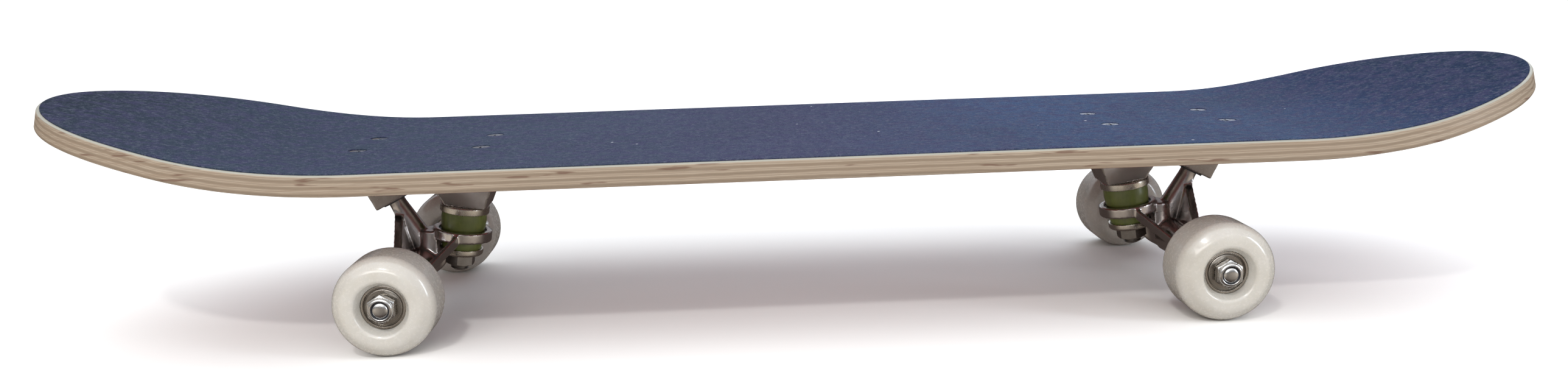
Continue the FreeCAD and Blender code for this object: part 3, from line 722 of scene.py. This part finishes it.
def casting(name, node, voxel=0.5, rounds=10):
    """The CAD solid with its edges eased the way a tumbled casting's are."""
    source = frame["nodes"][node]
    obj = new_object(name, source.data.copy())
    weld = obj.modifiers.new("weld", "WELD")
    weld.merge_threshold = 1e-6
    remesh = obj.modifiers.new("remesh", "REMESH")
    remesh.mode = "VOXEL"
    remesh.voxel_size = voxel * MM
    remesh.use_smooth_shade = True
    ease = obj.modifiers.new("ease", "SMOOTH")
    ease.factor = 0.5
    ease.iterations = rounds
    applied(obj)
    obj.data.shade_smooth()
    return obj


def bushing(name, place, axis, low, high, radius):
    """Urethane ring, bulged a little between its eased ends."""
    middle = (low + high) / 2
    corners = [(4.95, low, 0.4), (radius - 0.3, low, 1.2), (radius + 0.3, middle, 9.0),
               (radius - 0.3, high, 1.2), (4.95, high, 0.4)]
    bore = [(4.95, low + (high - low) * k / 12) for k in range(11, 0, -1)]
    return lathe(name, rounded(corners, 8) + bore, place, axis, 72)


def cup_washer(name, place, axis, face, lip, radius):
    """Dished washer with a rolled lip."""
    turn = 1 if lip > face else -1
    inside = face + turn * CUP_SHEET
    corners = [(4.8, face, 0.15), (radius, face, 1.5), (radius, lip, 0.4), (radius - CUP_SHEET, lip, 0.4),
               (radius - CUP_SHEET, inside, 0.5), (4.8, inside, 0.15)]
    return lathe(name, rounded(corners, 6), place, axis, 96)


def chamfered_hex(low, high, across_flats, top=True, bottom=True, steps=5):
    """Outer rings of a hexagonal nut whose corners are turned back at its ends."""
    corner = across_flats / math.sqrt(3)
    drop = 0.9
    rings = []
    for k in range(steps + 1):
        share = k / steps
        cap = across_flats / 2 - 0.1 + (corner - across_flats / 2 + 0.1) * share if bottom else 99.0
        rings.append((hexagon(across_flats, cap), low + drop * share * 0.6))
    for k in range(steps, -1, -1):
        share = k / steps
        cap = across_flats / 2 - 0.1 + (corner - across_flats / 2 + 0.1) * share if top else 99.0
        rings.append((hexagon(across_flats, cap), high - drop * share * 0.6))
    return rings


def threads(low, high, radius, pitch, depth):
    """Zigzag profile of a thread, as rings."""
    rings = []
    height = low
    while height + pitch <= high:
        rings.append((radius - depth, height))
        rings.append((radius, height + pitch * 0.35))
        rings.append((radius, height + pitch * 0.5))
        rings.append((radius - depth, height + pitch * 0.85))
        height += pitch
    return rings


def make_kingpin_group(end, inward):
    """Bushings, cup washers, kingpin and its nut at one end of the board."""
    place = joint_place(end + "_steer")
    axis = Vector((inward * math.sin(KINGPIN_TILT), 0, math.cos(KINGPIN_TILT)))
    for side, (low, high, radius), still, moved in (("board", TOP_BUSHING, 15.0, 2.0),
                                                    ("road", LOW_BUSHING, -9.5, -2.0)):
        obj = bushing("%s_bushing_%s" % (end, side), place, axis, low, high, radius)
        obj.data.materials.append(MATERIALS["bushing_urethane"])
        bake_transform(obj)
        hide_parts("%s_%s_side_bushing" % (end, side))
    cup = cup_washer(end + "_cup_top", place, axis, BOSS_FACE, TOP_CUP_LIP, TOP_CUP_R)
    finish_piece(cup, "deck", "cup_washer", MATERIALS["cup_washer"], end + "_top_cup_washer")
    cup = cup_washer(end + "_cup_bottom", place, axis, BOTTOM_CUP_FACE, BOTTOM_CUP_LIP, BOTTOM_CUP_R)
    finish_piece(cup, "deck", "cup_washer", MATERIALS["cup_washer"], end + "_bottom_cup_washer")
    rings = [(0.0, KINGPIN_LOW), (3.4, KINGPIN_LOW), (4.1, KINGPIN_LOW + 0.5)]
    rings += threads(KINGPIN_LOW + 0.6, -10.0, KINGPIN_R, 1.06, 0.42)
    rings += [(KINGPIN_R, -9.5), (KINGPIN_R, KINGPIN_HEAD[0])]
    rings += chamfered_hex(*KINGPIN_HEAD, KINGPIN_HEX) + [(0.0, KINGPIN_HEAD[1])]
    pin = lathe(end + "_kingpin_bolt", rings, place, axis, 72)
    finish_piece(pin, "deck", "dark_steel", MATERIALS["dark_steel"], end + "_kingpin")
    low = NUT_COLLAR_LOW
    rings = [(4.78, low + 0.2), (5.0, low), (5.3, low + 0.1), (5.5, low + 0.4), (5.5, NUT_HEX_LOW)]
    rings += chamfered_hex(NUT_HEX_LOW, BOTTOM_CUP_FACE, KINGPIN_HEX) + [(4.78, BOTTOM_CUP_FACE)]
    nut = lathe(end + "_kingpin_locknut", rings, place, axis, 96)
    finish_piece(nut, "deck", "dark_steel", MATERIALS["dark_steel"], end + "_kingpin_nut")


def make_castings(end):
    hanger = casting(end + "_hanger_casting", end + "_hanger")
    finish_piece(hanger, end + "_truck", "truck_aluminium", MATERIALS["truck_aluminium"], end + "_hanger")
    plate = casting(end + "_baseplate_casting", end + "_baseplate", 0.5, 3)
    finish_piece(plate, "deck", "truck_aluminium", MATERIALS["truck_aluminium"], end + "_baseplate")


def axle_centre(end):
    low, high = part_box(end + "_axle")
    return (Vector(low) + Vector(high)) / 2


def make_axle_group(end):
    centre = axle_centre(end)
    body = end + "_truck"
    along = Vector((0, 1, 0))
    half = [(0.0, AXLE_HALF), (1.6, AXLE_HALF - 0.05), (2.6, AXLE_HALF - 0.2), (3.3, AXLE_HALF - 0.5),
            (3.75, AXLE_HALF - 0.9), (AXLE_R, AXLE_HALF - 1.4)]
    rod = [(r, -h) for r, h in half] + half[::-1]
    axle = lathe(end + "_axle_rod", rod, centre, along, 64, 40)
    finish_piece(axle, body, "zinc_steel", MATERIALS["zinc_steel"], end + "_axle")
    washers, nuts, inserts = [], [], []
    for side in (-1, 1):
        out = along * side
        for low in (67.0, 90.0):
            ring = rounded([(4.05, low, 0.1), (6.2, low, 0.2), (6.2, low + 1, 0.2), (4.05, low + 1, 0.1)], 2)
            washers.append(lathe("washer", ring, centre, out, 64))
        rings = ([(4.0, NUT_LOW)] + chamfered_hex(NUT_LOW, NUT_HEX_HIGH, AXLE_HEX)
                 + [(6.05, NUT_HEX_HIGH), (6.0, NUT_HEX_HIGH + 0.2), (5.95, 95.2), (5.8, 95.6),
                    (5.5, 95.95), (5.1, 96.15), (4.7, NUT_HIGH), (4.5, 96.1), (4.4, 95.8),
                    (4.4, NUT_HEX_HIGH + 0.1), (4.0, NUT_HEX_HIGH + 0.1)])
        nuts.append(lathe("nut", rings, centre, out, 96))
        ring = rounded([(3.99, NUT_HEX_HIGH + 0.15, 0), (4.38, NUT_HEX_HIGH + 0.15, 0), (4.38, 95.7, 0.1),
                        (3.99, 95.5, 0.1)], 3)
        inserts.append(lathe("insert", ring, centre, out, 64))
    for name, group, slot in (("washers", washers, "zinc_steel"), ("nuts", nuts, "zinc_steel"),
                              ("nut_inserts", inserts, "nylon_insert")):
        obj = join(end + "_axle_ring_" + name, group)
        finish_piece(obj, body, slot, MATERIALS[slot], end + "_axle_" + name)


def join(name, objects):
    """One object from several."""
    build = bmesh.new()
    for obj in objects:
        build.from_mesh(obj.data)
        bpy.data.objects.remove(obj)
    mesh = bpy.data.meshes.new(name)
    build.to_mesh(mesh)
    build.free()
    smooth(mesh)
    return new_object(name, mesh)


# ---- wheels -----------------------------------------------------------------------------------------
def wheel_profile():
    """Half the wheel's section as (radius, height, rounding), mirrored about its middle."""
    half = [(WHEEL_CORE_R, 0.0, 0), (WHEEL_CORE_R, 4.0, 0.2), (BEARING_R, 4.0, 0.2), (BEARING_R, 11.4, 0.8),
            (13.6, WHEEL_HALF_WIDTH, 2.4), (19.0, WHEEL_HALF_WIDTH, 6.0), (WHEEL_R, 11.2, 7.0)]
    mirrored = [(r, -h, f) for r, h, f in half[:0:-1]]
    return rounded(half + mirrored, 10)


def make_wheel(end, hand):
    centre = axle_centre(end)
    side = -1 if hand == "left" else 1
    out = Vector((0, side, 0))
    place = centre + out * WHEEL_MIDDLE * MM
    prefix = "%s_%s_" % (end, hand)
    body = prefix + "wheel"
    tyre = lathe(prefix + "wheel_cast", wheel_profile(), place, out, 144, 38)
    finish_piece(tyre, body, "wheel_urethane", MATERIALS["wheel_urethane"], prefix + "wheel")
    outer, inner, shields = [], [], []
    for face in (-1, 1):
        middle = place + out * face * 7.5 * MM
        outward = out * face
        ring = rounded([(9.5, -3.5, 0.15), (10.95, -3.5, 0.5), (10.95, 3.5, 0.5), (9.75, 3.5, 0.2),
                        (9.55, 2.9, 0.1), (9.5, -2.0, 0)], 3)
        outer.append(lathe("outer", ring, middle, outward, 96))
        ring = rounded([(4.0, -3.5, 0.4), (5.9, -3.5, 0.15), (5.9, 3.5, 0.15), (4.0, 3.5, 0.4)], 3)
        inner.append(lathe("inner", ring, middle, outward, 96))
        ring = rounded([(6.15, 2.75, 0.05), (6.9, 3.1, 0.4), (8.5, 3.1, 0.3), (9.05, 2.8, 0.2),
                        (9.05, 2.1, 0), (9.6, 2.1, 0), (9.6, 1.9, 0), (8.85, 1.9, 0), (8.85, 2.65, 0.2),
                        (8.4, 2.8, 0.2), (6.9, 2.8, 0.3), (6.15, 2.45, 0.05)], 3)
        shields.append(lathe("shield", ring, middle, outward, 96))
    for name, group, slot, rides in (("outer_races", outer, "bearing_steel", body),
                                     ("inner_races", inner, "bearing_steel", end + "_truck"),
                                     ("shields", shields, "shield_steel", body)):
        obj = join(prefix + "bearing_" + name, group)
        finish_piece(obj, rides, slot, MATERIALS[slot], prefix + name)


# ---- carried-over CAD pieces ------------------------------------------------------------------------
def dress_cad():
    """Materials and eased edges for the CAD nodes that are shown as they are."""
    for end in ("nose", "tail"):
        for name, slot, width in (("mounting_bolts", "bolt_steel", 0.12),
                                  ("mounting_nuts", "zinc_steel", 0.2),
                                  ("pivot_cup", "pivot_urethane", 0.25)):
            node = frame["nodes"]["%s_%s" % (end, name)]
            node.data.materials.clear()
            node.data.materials.append(MATERIALS[slot])
            weld = node.modifiers.new("weld", "WELD")
            weld.merge_threshold = 1e-6
            ease = node.modifiers.new("ease", "BEVEL")
            ease.width = width * MM
            ease.segments = 2
            ease.limit_method = "ANGLE"
            ease.angle_limit = math.radians(35)
        for hand in ("left", "right"):
            balls = frame["nodes"]["%s_%s_balls" % (end, hand)]
            balls.data.materials.clear()
            balls.data.materials.append(MATERIALS["ball_steel"])


# ---- stage ------------------------------------------------------------------------------------------
def make_camera():
    data = bpy.data.cameras.new("camera")
    data.lens = CAMERA_LENS
    data.sensor_width = CAMERA_SENSOR
    forward = Vector((-math.sin(CAMERA_YAW) * math.cos(CAMERA_PITCH),
                      math.cos(CAMERA_YAW) * math.cos(CAMERA_PITCH), math.sin(CAMERA_PITCH)))
    level = Vector((math.cos(CAMERA_YAW), math.sin(CAMERA_YAW), 0))
    upright = level.cross(forward)
    right = level * math.cos(CAMERA_ROLL) + upright * math.sin(CAMERA_ROLL)
    top = right.cross(forward)
    camera = new_object("camera", data)
    turn = Matrix((right, top, -forward)).transposed()
    camera.matrix_world = Matrix.Translation(CAMERA_PLACE) @ turn.to_4x4()
    bpy.context.scene.camera = camera


def add_light(name, place, size, power, colour, target=(0, 0, 0.06)):
    data = bpy.data.lights.new(name, "AREA")
    data.shape = "RECTANGLE"
    data.size, data.size_y = size
    data.energy = power
    data.color = colour
    light = new_object(name, data)
    light.location = place
    light.rotation_euler = (Vector(target) - Vector(place)).to_track_quat("-Z", "Y").to_euler()


def make_stage():
    mesh = bpy.data.meshes.new("floor")
    build = bmesh.new()
    bmesh.ops.create_grid(build, x_segments=2, y_segments=2, size=FLOOR_HALF)
    build.to_mesh(mesh)
    build.free()
    floor = new_object("floor", mesh)
    floor.location = (0, 0, cad_low[2] - 0.0002)
    floor.visible_glossy = False
    mesh.materials.append(floor_material())
    sun = bpy.data.lights.new("sun", "SUN")
    sun.energy = SUN["strength"]
    sun.angle = SUN["angle"]
    lamp = new_object("sun", sun)
    lamp.rotation_euler = Vector(SUN["place"]).to_track_quat("Z", "Y").to_euler()
    for name, place, size, power, colour in LIGHTS:
        add_light(name, place, size, power, colour)
    bpy.context.scene.world = studio_world()
    bpy.context.scene.view_settings.view_transform = "Standard"


make_camera()
make_stage()
make_deck()
for truck_end, truck_inward in (("nose", 1), ("tail", -1)):
    make_kingpin_group(truck_end, truck_inward)
    make_castings(truck_end)
    make_axle_group(truck_end)
    for truck_hand in ("left", "right"):
        make_wheel(truck_end, truck_hand)
dress_cad()
